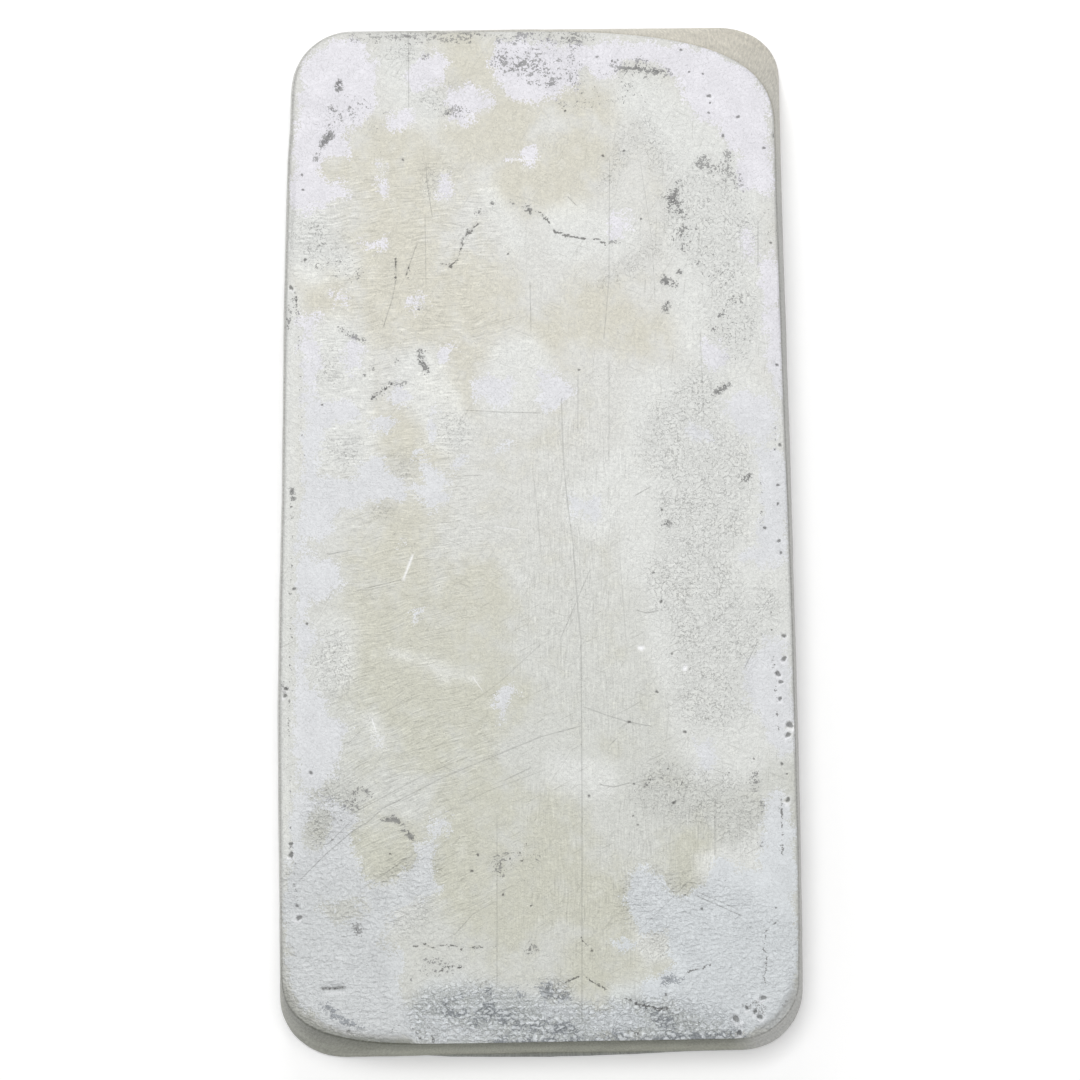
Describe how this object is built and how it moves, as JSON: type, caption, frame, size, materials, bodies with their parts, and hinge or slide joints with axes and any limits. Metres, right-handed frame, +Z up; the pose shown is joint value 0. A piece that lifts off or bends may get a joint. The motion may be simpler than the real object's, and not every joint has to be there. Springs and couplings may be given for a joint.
{
  "type": "metal ingot",
  "caption": "Flat cast ingot of white metal, a tapered bar with rounded corners and drafted walls, frosted and tarnished, for stacking as raw stock.",
  "frame": {"origin": "on the floor, under the middle of the bar's box", "axes": "+Y along the bar to its narrow end, +X to its right side, +Z up, out of the face from the mould's floor"},
  "size_m": [0.06, 0.1182, 0.0144],
  "materials": {
    "cast_silver": "satin"
  },
  "bodies": {
    "root": {"ingot": "cast_silver"}
  },
  "joints": []
}
